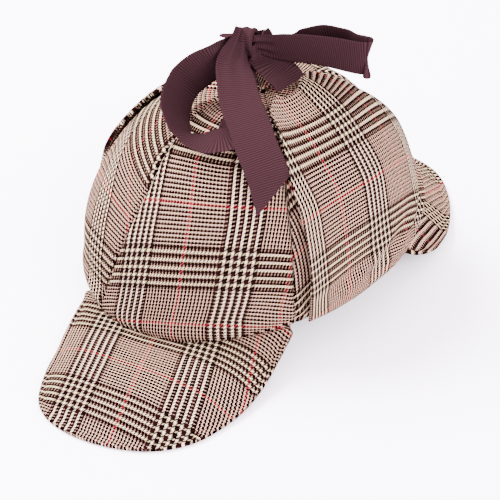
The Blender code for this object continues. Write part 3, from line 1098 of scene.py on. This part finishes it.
@dataclass
class Peak:
    """A stiffened peak, sewn under the crown's edge, with its rim on the table.

    Args:
        name: the CAD node's name.
        outline: the turn across the span, with reach and rise there.
        middle: the angle it points at.
        span: half the angle it covers.
        depth: how far it reaches out.
        facing: -1 for the front peak and 1 for the rear one.
        lay: how the check lies on it.
        seed: makes its small waves its own.
        thickness: the doubled cloth's thickness.
        crowning: how high it arches between the crown and its rim.
        end_drop: how much lower its ends are sewn.
        rim_width: how wide its rim lies on the table.
        rim_most: the largest share of its reach that the rim takes.
        touch_gap: the gap to the crown.
        crown_cloth: how far it goes in under the crown's cloth.
        columns: cells from end to end.
        rows: cells from the crown to the rim.
        rim_rows: the closer ones of them, at the rim.
        rim_share: the share of the way out that those cover.
        rim_start: how close together they start.
        edge: how far in from the rim it rounds over.
        least_edge: keeps the rim from coming to a point.
        stitch: the pull of its stitches.
        waves: the cloth's gentle waves.
    """

    name: str
    outline: Table
    middle: float
    span: float
    depth: float
    facing: float
    lay: PeakLay
    seed: float
    thickness: float = 0.0030
    crowning: float = 0.0040
    end_drop: float = 0.0025
    rim_width: float = 0.0045
    rim_most: float = 0.4
    touch_gap: float = 0.0003
    crown_cloth: float = 0.0020
    columns: int = 150
    rows: int = 56
    rim_rows: int = 14
    rim_share: float = 0.1
    rim_start: float = 0.1
    edge: float = 0.0020
    least_edge: float = 0.0002
    stitch: Ridge = Ridge(-0.00035, 0.0050, 0.0008)
    waves: Waves = Waves(0.00035, 5.0, 4.0, 0.01)

    def shares(self) -> Array:
        """Shares of the way out to the rim, packed closer together near it."""
        inner = np.linspace(0.0, 1 - self.rim_share, self.rows - self.rim_rows)
        turn = np.linspace(self.rim_start, math.pi / 2, self.rim_rows)
        return np.concatenate([inner, 1 - self.rim_share + self.rim_share * np.sin(turn)])

    def build(self, crown: CrownShape, shop: Workshop) -> bpy.types.Object:
        """Makes the peak.

        Args:
            crown: the crown's shape.
            shop: where pieces are made.

        Returns:
            The finished object.
        """
        turns = np.sin(np.linspace(-1.0, 1.0, self.columns + 1) * math.pi / 2)
        angle = self.middle + turns * self.span
        reach = self.outline.read("reach", turns) * self.depth
        rise = np.clip(self.outline.read("rise", turns), 0.0, 1.0)
        wall = crown.skin(angle, 0.0)
        away = np.stack([np.sin(angle) / crown.width, -np.cos(angle) / crown.length, 0 * angle], -1)
        away = unit(away)
        edge = np.minimum(wall[:, 2], crown.point(angle, 0.0, -self.crown_cloth)[:, 2])
        under = edge - self.touch_gap - self.end_drop * rise
        rim_top = self.thickness + (under - self.thickness) * rise
        sloping = reach - np.minimum(self.rim_width, reach * self.rim_most)
        cloth = Cloth(self.thickness, self.edge)
        top, low = [], []
        for share in self.shares():
            out = -self.crown_cloth + (reach + self.crown_cloth) * share
            slope = np.clip((out - self.touch_gap * 2) / sloping, 0.0, 1.0)
            arch = self.crowning * np.sin(math.pi * slope) * (reach / self.depth) * (1 - rise)
            height = under + (rim_top - under) * slope + arch
            from_rim = reach - out
            half = self.thickness / 2 * cloth.rounding(from_rim + self.least_edge)
            wave = self.waves.read(turns, share, self.seed) * self.waves.share(from_rim)
            spot = (wall + away * out[:, None])[:, :2]
            centre = height - self.thickness / 2
            relief = self.stitch.read(from_rim) + wave
            top.append(np.column_stack([spot, centre + half + relief]))
            low.append(np.column_stack([spot, centre - half]))
        loops = around(*(np.array(face).transpose(1, 0, 2) for face in (top, low)))
        threads = self.lay.threads(loops[..., 1] * self.facing, loops[..., 0])
        return shop.loft(self.name + "_cloth", loops, threads, "threads", Finish.CHECK, self.name)


@dataclass
class Ribbon:
    """A length of ribbon along a smooth middle line.

    Args:
        name: the CAD node's name.
        middles: places along its middle, evenly paced.
        heading: which way its width points in plan, in degrees.
        climb: how far its width tips up, in degrees.
        spread: the share of its full width that lies open.
        rests_on: what it lies on or hangs from.
        held: how it is held.
        cut: how slanted its free end is.
        width: its full width.
        thickness: its thickness.
        steps: cells along it.
        lanes: cells across it.
        pleat: how high its pleats stand where it is gathered.
        pleats: how many there are.
        pleat_start: where across it they start.
        cup: how far it cups where it lies open.
        cut_from: the share of its length at which the slant starts.
        gather_from: the spread below which it gathers.
        gather_span: how much less spread gathers it in full.
        edge_power: how late its edges round over.
        least_edge: the share of its thickness left at its edges.
    """

    name: str
    middles: Array
    heading: Array
    # rests_on: what it lies on or hangs from; not used.
    climb: Array
    # held: how it is held; not used.
    spread: Array
    rests_on: tuple[str, ...]
    held: str = "draped"
    cut: float = 0.0
    width: float = 0.0250
    thickness: float = 0.0007
    steps: int = 180
    lanes: int = 22
    pleat: float = 0.0012
    pleats: float = 2.5
    pleat_start: float = 0.6
    cup: float = 0.0007
    cut_from: float = 0.75
    gather_from: float = 0.95
    gather_span: float = 0.5
    edge_power: int = 14
    least_edge: float = 0.15

    def along(self, values: Array, at: Array) -> Array:
        """Reads evenly paced values on a smooth curve.

        Args:
            values: the values, from one end to the other.
            at: shares of the way along.

        Returns:
            The values there.
        """
        keys = np.linspace(0.0, 1.0, len(values))
        return Table(("at", "value"), tuple(zip(keys, values))).read("value", at)

    def build(self, shop: Workshop) -> bpy.types.Object:
        """Args:
            shop: where pieces are made.

        Returns:
            The finished object.
        """
        fine = np.linspace(0.0, 1.0, self.steps + 1)
        line = np.stack([self.along(self.middles[:, k], fine) for k in range(3)], -1)
        heading = np.radians(self.along(self.heading, fine))
        climb = np.radians(self.along(self.climb, fine))
        spread = self.along(self.spread, fine)
        flat = np.cos(climb)
        across = np.stack([np.sin(heading) * flat, -np.cos(heading) * flat, np.sin(climb)], -1)
        forward = unit(np.gradient(line, axis=0))
        across = unit(across - forward * np.sum(across * forward, -1, keepdims=True))
        face = unit(np.cross(across, forward))
        lanes = np.linspace(-0.5, 0.5, self.lanes + 1)
        late = np.clip((fine - self.cut_from) / (1 - self.cut_from), 0.0, 1.0)
        slant = late[:, None, None] * lanes[:, None] * -self.cut
        place = line[:, None] + across[:, None] * (lanes[:, None] * spread[:, None, None] * self.width)
        place = place + forward[:, None] * slant
        gather = np.clip((self.gather_from - spread) / self.gather_span, 0.0, 1.0)[:, None]
        turn = lanes * math.tau * self.pleats + self.pleat_start
        fold = np.sin(turn)[None, :] * gather * self.pleat
        cup = (1 - (2 * lanes) ** 2)[None, :] * self.cup * (1 - gather)
        place = place + face[:, None] * (fold + cup)[..., None]
        edge = np.sqrt(np.clip(1 - (np.abs(lanes) * 2) ** self.edge_power, 0.0, 1.0))[:, None]
        half = face[:, None] * (self.thickness / 2 * np.maximum(edge, self.least_edge))
        loops = around(place + half, place - half)
        length = np.concatenate([[0.0], np.cumsum(np.linalg.norm(np.diff(line, axis=0), axis=-1))])
        u = np.concatenate([lanes, lanes[::-1]]) * self.width
        v = length[:, None] + around(slant, slant)[..., 0]
        uvs = np.stack(np.broadcast_arrays(u[None, :], v), -1)
        made = shop.loft(self.name + "_ribbon", loops, uvs, "metres", Finish.RIBBON, self.name)
        return made


@dataclass
class Knot:
    """The knot: ribbon wound round the middle of the bow, hollow at the wearer's left end.

    Args:
        middle: where it sits.
        half: half its sizes.
        rings: cells along it.
        sectors: cells round it.
        pleat: how high its pleats stand.
        pleat_pace: how many there are, over a whole turn.
        pleat_wander: how far they wander round it.
        pleat_end: the step beyond which there are none.
        squeeze: how far it is from round.
        squeeze_turn: which way it is squeezed.
        skew: how far its ends slant.
        skew_turn: which way they slant.
        profile: its outline, out along it and back into the hollow.
    """

    middle: Array
    half: Array
    rings: int = 90
    sectors: int = 96
    pleat: float = 0.035
    pleat_pace: float = 9.0
    pleat_wander: float = 0.8
    pleat_end: float = 0.7
    squeeze: float = 0.05
    squeeze_turn: float = 0.5
    skew: float = 0.08
    skew_turn: float = 0.8
    profile: Table = Table(
        ("step", "along", "reach"),
        (
            (0.00, -0.98, 0.30),
            (0.06, -1.00, 0.62),
            (0.14, -0.90, 0.88),
            (0.28, -0.50, 1.00),
            (0.42, 0.10, 1.02),
            (0.56, 0.20, 1.00),
            (0.66, 0.29, 0.95),
            (0.72, 0.31, 0.86),
            (0.78, 0.26, 0.74),
            (0.86, 0.05, 0.66),
            (0.94, -0.20, 0.60),
            (1.00, -0.36, 0.36),
        ),
    )

    def build(self, shop: Workshop) -> bpy.types.Object:
        """Makes the knot.

        Args:
            shop: where pieces are made.

        Returns:
            The finished object.
        """
        turn = np.linspace(0.0, math.tau, self.sectors, endpoint=False)[None, :]
        step = np.linspace(0.0, 1.0, self.rings + 1)[:, None]
        along, reach = self.profile.read("along", step), self.profile.read("reach", step)
        wound = np.sin(along * self.pleat_pace + self.pleat_wander * np.sin(turn * 2))
        pleats = 1 + self.pleat * wound * (step < self.pleat_end)
        radius = reach * pleats * (1 + self.squeeze * np.sin(turn * 2 + self.squeeze_turn))
        x = along * self.half[0] * (1 + self.skew * np.sin(turn + self.skew_turn))
        ring = np.stack(
            [x, -np.cos(turn) * radius * self.half[1], np.sin(turn) * radius * self.half[2]], -1
        )
        uvs = np.stack(np.broadcast_arrays(along * self.half[0], turn * self.half[2]), -1)
        return shop.loft(
            "bow_knot_ribbon", self.middle + ring, uvs, "metres", Finish.RIBBON, "bow_knot"
        )


@dataclass
class Bow:
    """The ties, the knot, two loops and two free ends of ribbon.

    Args:
        crown: the crown under it.
        knot_lift: how high the knot's middle lies over the crown's top.
        knot_place: where it lies from the top, in shares of that lift.
        knot_size: the knot's sizes.
        loop_reach: the right loop's reach from the knot.
        tail_cut: how slanted the free ends are.
    """

    crown: CrownShape
    knot_lift: float = 0.0245
    knot_place: Triple = (-0.32, 0.25, 1.0)
    knot_size: Triple = (0.0150, 0.0130, 0.0180)
    loop_reach: float = 0.0660
    tail_cut: float = 0.0160

    @property
    def middle(self) -> Array:
        """Where the knot sits."""
        return self.crown.skin(0.0, 1.0) + np.array(self.knot_place) * self.knot_lift

    @property
    def half(self) -> Array:
        """Half the knot's sizes."""
        return np.array(self.knot_size) / 2

    def run(
        self,
        name: str,
        rests_on: tuple[str, ...],
        start: tuple[float, ...] | None,
        route: tuple[tuple[float, ...], ...],
        end: tuple[float, ...] | None,
        cut: float = 0.0,
        free: bool = False,
    ) -> Ribbon:
        """One ribbon.

        Args:
            name: the CAD node's name.
            rests_on: what it lies on or hangs from.
            start: where it leaves the knot, in shares of the knot's half sizes.
            route: its places, over the crown or in shares of the loop's reach.
            end: where it comes back to the knot.
            cut: how slanted its free end is.
            free: whether the route hangs free of the crown.

        Returns:
            The ribbon, ready to build.
        """
        rows = np.array(route, float)
        if free:
            places = self.middle + rows[:, :3] * self.loop_reach
        else:
            angle, level, lift = rows[:, :3].T
            places = self.crown.point(np.radians(angle), level, lift * self.knot_lift)
        ways = rows[:, 3:]
        for spot, first in ((start, True), (end, False)):
            if spot is None:
                continue
            place = self.middle + np.array(spot[:3]) * self.half
            way = np.array(spot[3:])
            places = np.vstack([place, places] if first else [places, place])
            ways = np.vstack([way, ways] if first else [ways, way])
        return Ribbon(name, places, ways[:, 0], ways[:, 1], ways[:, 2], rests_on, cut=cut)

    def build(self, shop: Workshop) -> None:
        """Makes every ribbon and the knot."""
        Knot(self.middle, self.half).build(shop)
        runs = (
            self.run(
                "tie_left", ("ear_flap_left", "bow_knot"), None,
                (
                    (104, 0.925, 0.150, 168, 0, 1.00),
                    (117, 0.945, 0.330, 168, 0, 1.00),
                    (150, 0.965, 0.520, 169, 2, 1.00),
                    (-165, 0.952, 0.720, 170, 6, 0.95),
                ),
                (0.45, 0.30, 0.30, 168, 16, 0.70),
            ),
            self.run(
                "tie_right", ("ear_flap_right", "bow_knot"), None,
                (
                    (-122, 0.840, 0.430, 150, 0, 1.00),
                    (-122, 0.885, 0.420, 150, 0, 1.00),
                    (-120, 0.930, 0.430, 150, 0, 0.80),
                    (-118, 0.955, 0.480, 150, 0, 0.70),
                ),
                (-0.42, 0.00, -1.01, 150, 0, 0.45),
            ),
            self.run(
                "bow_loop_left", ("bow_knot", "crown_front"), (-1.02, -0.55, 0.00, 150, -66, 0.50),
                (
                    (-58, 0.895, 0.970, 151, -65, 0.85),
                    (-58, 0.860, 0.880, 149, -63, 1.00),
                    (-58, 0.825, 0.750, 144, -60, 1.00),
                    (-57, 0.795, 0.600, 146, -51, 1.00),
                    (-50, 0.770, 0.500, 155, -42, 1.00),
                    (-40, 0.750, 0.460, 163, -36, 1.00),
                    (-31, 0.735, 0.420, 175, -30, 1.00),
                    (-24, 0.725, 0.350, 190, -22, 1.00),
                    (-17, 0.727, 0.260, 203, -13, 1.00),
                    (-9, 0.735, 0.215, 205, -4, 1.00),
                    (-1, 0.745, 0.230, 205, 2, 1.00),
                    (6, 0.770, 0.220, 206, 12, 0.90),
                    (8, 0.820, 0.240, 206, 24, 0.75),
                    (2, 0.890, 0.340, 200, 20, 0.55),
                ),
                (-0.10, -0.80, -0.95, 190, 10, 0.38),
            ),
            self.run(
                "bow_tail_front", ("bow_knot", "crown_front"), (-0.62, -0.35, 1.02, 164, 2, 0.42),
                (
                    (-68, 0.940, 1.070, 157, -2, 0.60),
                    (-35, 0.925, 0.900, 149, -5, 0.80),
                    (-9, 0.895, 0.730, 137, -2, 0.88),
                    (6, 0.845, 0.540, 131, 3, 0.92),
                    (17, 0.785, 0.410, 127, 4, 0.92),
                    (24, 0.715, 0.330, 125, 5, 0.92),
                    (30, 0.640, 0.280, 125, 4, 0.92),
                    (34, 0.560, 0.240, 126, 3, 0.92),
                ),
                None, cut=self.tail_cut,
            ),
            self.run(
                "bow_tail_back", ("bow_knot", "crown_back"), (-0.70, 0.85, 0.10, -60, 0, 0.45),
                (
                    (-127, 0.880, 0.960, -60, 0, 0.80),
                    (-145, 0.800, 0.750, -62, 0, 1.00),
                    (-155, 0.710, 0.440, -66, 0, 1.00),
                    (-162, 0.630, 0.240, -70, 0, 1.00),
                    (-165, 0.550, 0.180, -72, 0, 1.00),
                ),
                None, cut=self.tail_cut,
            ),
            self.run(
                "bow_loop_right", ("bow_knot",), (0.15, -0.30, 0.10, 18, 68, 0.45),
                (
                    (0.20, -0.01, -0.006, 18, 66, 0.85),
                    (0.33, 0.00, 0.000, 24, 65, 1.00),
                    (0.48, 0.01, 0.008, 27, 66, 1.00),
                    (0.63, 0.01, 0.012, 28, 68, 1.00),
                    (0.78, 0.01, 0.008, 30, 71, 1.00),
                    (0.93, 0.01, 0.000, 32, 72, 1.00),
                    (1.02, 0.03, -0.004, 33, 72, 1.00),
                    (1.00, 0.08, -0.010, 33, 71, 1.00),
                    (0.90, 0.15, -0.024, 32, 70, 1.00),
                    (0.76, 0.23, -0.022, 28, 69, 1.00),
                    (0.59, 0.25, -0.010, 26, 67, 1.00),
                    (0.44, 0.23, -0.040, 26, 66, 1.00),
                    (0.30, 0.19, -0.060, 22, 65, 0.80),
                ),
                (0.85, 0.75, -0.25, 18, 66, 0.42), free=True,
            ),
        )
        for ribbon in runs:
            ribbon.build(shop)


def grain(*rows: tuple[float, float]) -> Table:
    """A table of levels and angles for one upright thread."""
    return Table(("level", "angle"), rows)


def plan(*rows: tuple[float, float]) -> Table:
    """A table of distances out and places across for one thread of a peak."""
    return Table(("out", "across"), rows)


@dataclass
class Hat:
    """The whole hat.

    Args:
        crown: the crown's shape.
        right_thread: the thread of the repeat that the right panel's line follows.
    """

    crown: CrownShape
    right_thread: float = 24.0

    def gores(self) -> list[Gore]:
        """The crown's panels."""
        red = GlenCheck.red_thread
        front_line = grain(
            (0.09, 1), (0.21, 3), (0.37, 3), (0.53, 0), (0.61, -4), (0.70, -11), (0.85, -26)
        )
        right_line = grain((0.0, -40), (0.20, -41), (0.33, -44), (0.46, -52), (0.58, -73), (0.75, -100))
        front = Lay(front_line, red, 0.552)
        right = Lay(right_line, self.right_thread, 0.448)
        left = Lay(grain((0.0, 92), (1.0, 95)), red, 0.50)
        back = Lay(grain((0.0, 180), (1.0, 182)), red, 0.52)
        return [
            Gore("crown_front", ("front_right", 0), ("front_left", 0), front, 1.0),
            Gore("crown_left", ("front_left", 0), ("back_left", 0), left, 2.0),
            Gore("crown_back", ("back_left", 0), ("back_right", 0), back, 3.0),
            Gore("crown_right", ("back_right", -360), ("front_right", 0), right, 4.0),
        ]

    def flaps(self) -> list[Flap]:
        """The two ear flaps."""
        names = ("level", "front", "back", "stand")
        left = Table(names, (
            (0.000, 47, 116, 0.70), (0.080, 47, 123, 1.05), (0.180, 47, 126, 1.20), (0.300, 47, 126, 1.10),
            (0.400, 46, 125, 0.95), (0.500, 44, 122, 0.75), (0.630, 41, 119, 0.40), (0.720, 39, 121, 0.20),
            (0.800, 36, 132, 0.15), (0.860, 34, 140, 0.20), (0.905, 48, 128, 0.30),
        ))
        right = Table(names, (
            (0.000, 84, 97, 0.02), (0.080, 88, 108, 0.35), (0.180, 91, 124, 0.45), (0.300, 91, 138, 0.40),
            (0.400, 88, 142, 0.30), (0.500, 87, 143, 0.25), (0.630, 94, 145, 0.22), (0.720, 97, 147, 0.25),
            (0.800, 98, 149, 0.35), (0.860, 98, 150, 0.45), (0.905, 106, 142, 0.45),
        ))
        red = GlenCheck.red_thread
        near = Lay(
            grain((0.0, 61), (0.14, 61), (0.38, 61), (0.49, 61), (0.61, 58), (0.70, 56), (0.9, 50)),
            red, 0.478, bow=5.0, middle=0.010, pitch=0.00038, crowding=18.0, shortening=1.5, turned=True,
        )
        far = Lay(grain((0.0, -115), (1.0, -118)), red, 0.45, turned=True)
        return [
            Flap("ear_flap_left", Side.LEFT, left, near, 1.3, buckle=0.0015, back_swell=0.0065),
            Flap("ear_flap_right", Side.RIGHT, right, far, 2.9, front_lift=0.0004),
        ]

    def peaks(self) -> list[Peak]:
        """The front and rear peaks."""
        names = ("turn", "reach", "rise")
        front = Table(names, (
            (-1.00, 0.030, 0.95), (-0.92, 0.065, 0.82), (-0.84, 0.139, 0.60), (-0.76, 0.218, 0.40),
            (-0.66, 0.330, 0.22), (-0.57, 0.445, 0.09), (-0.48, 0.605, 0.02), (-0.40, 0.745, 0.00),
            (-0.33, 0.860, 0.00), (-0.25, 0.935, 0.00), (-0.13, 0.985, 0.00), (0.00, 1.000, 0.00),
            (0.15, 0.987, 0.00), (0.24, 0.962, 0.00), (0.33, 0.910, 0.00), (0.42, 0.825, 0.00),
            (0.51, 0.700, 0.02), (0.62, 0.535, 0.09), (0.72, 0.375, 0.24), (0.84, 0.200, 0.52),
            (0.94, 0.095, 0.80), (1.00, 0.040, 0.95),
        ))
        half = (
            (0.00, 1.000, 0.00), (0.27, 0.985, 0.00), (0.35, 0.970, 0.00), (0.41, 0.920, 0.00),
            (0.47, 0.840, 0.01), (0.58, 0.692, 0.07), (0.65, 0.605, 0.12), (0.73, 0.515, 0.19),
            (0.79, 0.435, 0.24), (0.84, 0.380, 0.31), (0.90, 0.290, 0.45), (0.96, 0.175, 0.68),
            (1.00, 0.050, 0.94),
        )
        rear = Table(names, tuple((-turn, reach, rise) for turn, reach, rise in half[:0:-1]) + half)
        front_line = plan(
            (0.085, -0.013), (0.102, -0.010), (0.129, -0.005), (0.153, -0.0022), (0.172, -0.0007)
        )
        front_lay = PeakLay(front_line, 0.124, bow=0.0, tilt=0.185)
        rear_lay = PeakLay(
            plan((0.03, 0.085), (0.15, 0.085)), 0.0965, bow=-1.0, tilt=0.30, pitch_across=0.0007
        )
        return [
            Peak("front_peak", front, math.radians(-4), math.radians(46), 0.0775, -1.0, front_lay, 5.0),
            Peak("rear_peak", rear, math.pi, math.radians(84), 0.0560, 1.0, rear_lay, 6.0),
        ]

    def build(self, shop: Workshop) -> None:
        """Makes every piece in order."""
        for gore in self.gores():
            gore.build(self.crown, shop)
        for peak in self.peaks():
            peak.build(self.crown, shop)
        for flap in self.flaps():
            flap.build(self.crown, shop)
        Bow(self.crown).build(shop)


@dataclass(frozen=True)
class Lamp:
    """A soft white area light, aimed at the hat.

    Args:
        name: its name.
        place: where it hangs.
        size: how wide it is.
        power: its power in watts.
        target: the point it is aimed at.
    """

    name: str
    place: Triple
    size: float
    power: float
    target: Triple = (0.0, 0.0, 0.05)

    def build(self) -> None:
        """Hangs the light."""
        light = bpy.data.lights.new(self.name, "AREA")
        light.shape = "DISK"
        light.size = self.size
        light.energy = self.power
        made = add_object(self.name, light)
        made.location = self.place
        aim = Vector(self.target) - Vector(self.place)
        made.rotation_euler = aim.to_track_quat("-Z", "Y").to_euler()


@dataclass(frozen=True)
class Studio:
    """The pale floor, the lamps and the camera.

    Args:
        shift: from the crown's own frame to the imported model's, in plan.
        lamps: the area lights.
        floor_size: the floor's width.
        floor_colour: the floor's colour.
        floor_roughness: how matt the floor is.
        floor_gloss: how much it shines.
        sky_colour: the surround's colour.
        sky_strength: how bright the surround is.
        sensor: the camera's sensor, in millimetres.
        lens: its focal length, in millimetres.
        camera_place: where it stands, in the crown's own frame.
        back: the way from the hat to the camera.
        right: the camera's right.
        focal: the focal length in pixels.
        centre: the picture's optical centre in pixels.
        picture: the picture's width in pixels.
    """

    shift: tuple[float, float]
    lamps: tuple[Lamp, ...] = (
        Lamp("key", (-1.5, 0.3, 1.9), 1.5, 430.0),
        Lamp("fill", (1.6, -1.0, 1.0), 1.6, 150.0),
    )
    floor_size: float = 12.0
    floor_colour: Triple = (0.90, 0.845, 0.925)
    floor_roughness: float = 0.9
    floor_gloss: float = 0.1
    sky_colour: Triple = (1.0, 0.925, 1.0)
    sky_strength: float = 5.9
    sensor: float = 36.0
    lens: float = 124.35
    camera_place: Triple = (0.37828, -0.75556, 0.59720)
    back: Triple = (0.37982, -0.75863, 0.52935)
    right: Triple = (0.91024, 0.40851, -0.06767)
    focal: float = 1727.0
    centre: tuple[float, float] = (236.29, 165.29)
    picture: float = 500.0

    @property
    def off_centre(self) -> tuple[float, float]:
        """How far the picture's middle is from its optical centre, over the focal length."""
        across, down = (self.picture / 2 - place for place in self.centre)
        return across / self.focal, down / self.focal

    def camera(self) -> None:
        """Sets the camera where the photograph was taken from."""
        data = bpy.data.cameras.new("view")
        data.sensor_width = self.sensor
        back, right = Vector(self.back).normalized(), Vector(self.right).normalized()
        up = back.cross(right)
        across, down = self.off_centre
        ahead = (-back + right * across - up * down).normalized()
        turned = (-back).rotation_difference(ahead)
        back, right, up = -ahead, turned @ right, turned @ up
        data.lens = self.lens * math.sqrt(1 + across**2 + down**2)
        made = add_object("view", data)
        place = Vector(self.camera_place) + Vector((*self.shift, 0.0))
        turn = Matrix((right, up, back)).transposed().to_4x4()
        made.matrix_world = Matrix.Translation(place) @ turn
        bpy.context.scene.camera = made

    def floor(self) -> None:
        """Lays the pale floor."""
        mesh = bpy.data.meshes.new("floor")
        half = self.floor_size / 2
        corners = [(-half, -half, 0), (half, -half, 0), (half, half, 0), (-half, half, 0)]
        mesh.from_pydata(corners, [], [(0, 1, 2, 3)])
        made = add_object("floor", mesh)
        finish = bpy.data.materials.new("pale_floor")
        finish.use_nodes = True
        shader = finish.node_tree.nodes["Principled BSDF"]
        shader.inputs["Base Color"].default_value = (*self.floor_colour, 1.0)
        shader.inputs["Roughness"].default_value = self.floor_roughness
        shader.inputs["Specular IOR Level"].default_value = self.floor_gloss
        mesh.materials.append(finish)

    def sky(self) -> None:
        """A bright even surround."""
        world = bpy.data.worlds.new("surround")
        bpy.context.scene.world = world
        world.use_nodes = True
        shade = world.node_tree.nodes["Background"]
        shade.inputs["Color"].default_value = (*self.sky_colour, 1.0)
        shade.inputs["Strength"].default_value = self.sky_strength

    def build(self) -> None:
        """Sets up the floor, the surround, the lamps and the camera."""
        self.floor()
        self.sky()
        for lamp in self.lamps:
            lamp.build()
        self.camera()


def frame_shift(crown: CrownShape) -> Array:
    """From the crown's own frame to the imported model's, read off the knot's place."""
    low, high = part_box("bow_knot")
    middle = (np.array(low) + np.array(high)) / 2
    shift = middle - Bow(crown).middle
    return np.array([shift[0], shift[1], 0.0])


def main() -> None:
    """Builds the hat and the studio."""
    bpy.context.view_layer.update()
    crown = CrownShape()
    shift = frame_shift(crown)
    log.info("frame shift %.5f %.5f %.5f", *shift)
    shop = Workshop(shift, {Finish.CHECK: GlenCheck().build(), Finish.RIBBON: Grosgrain().build()})
    Hat(crown).build(shop)
    Studio((float(shift[0]), float(shift[1]))).build()


if __name__ == "__main__":
    main()
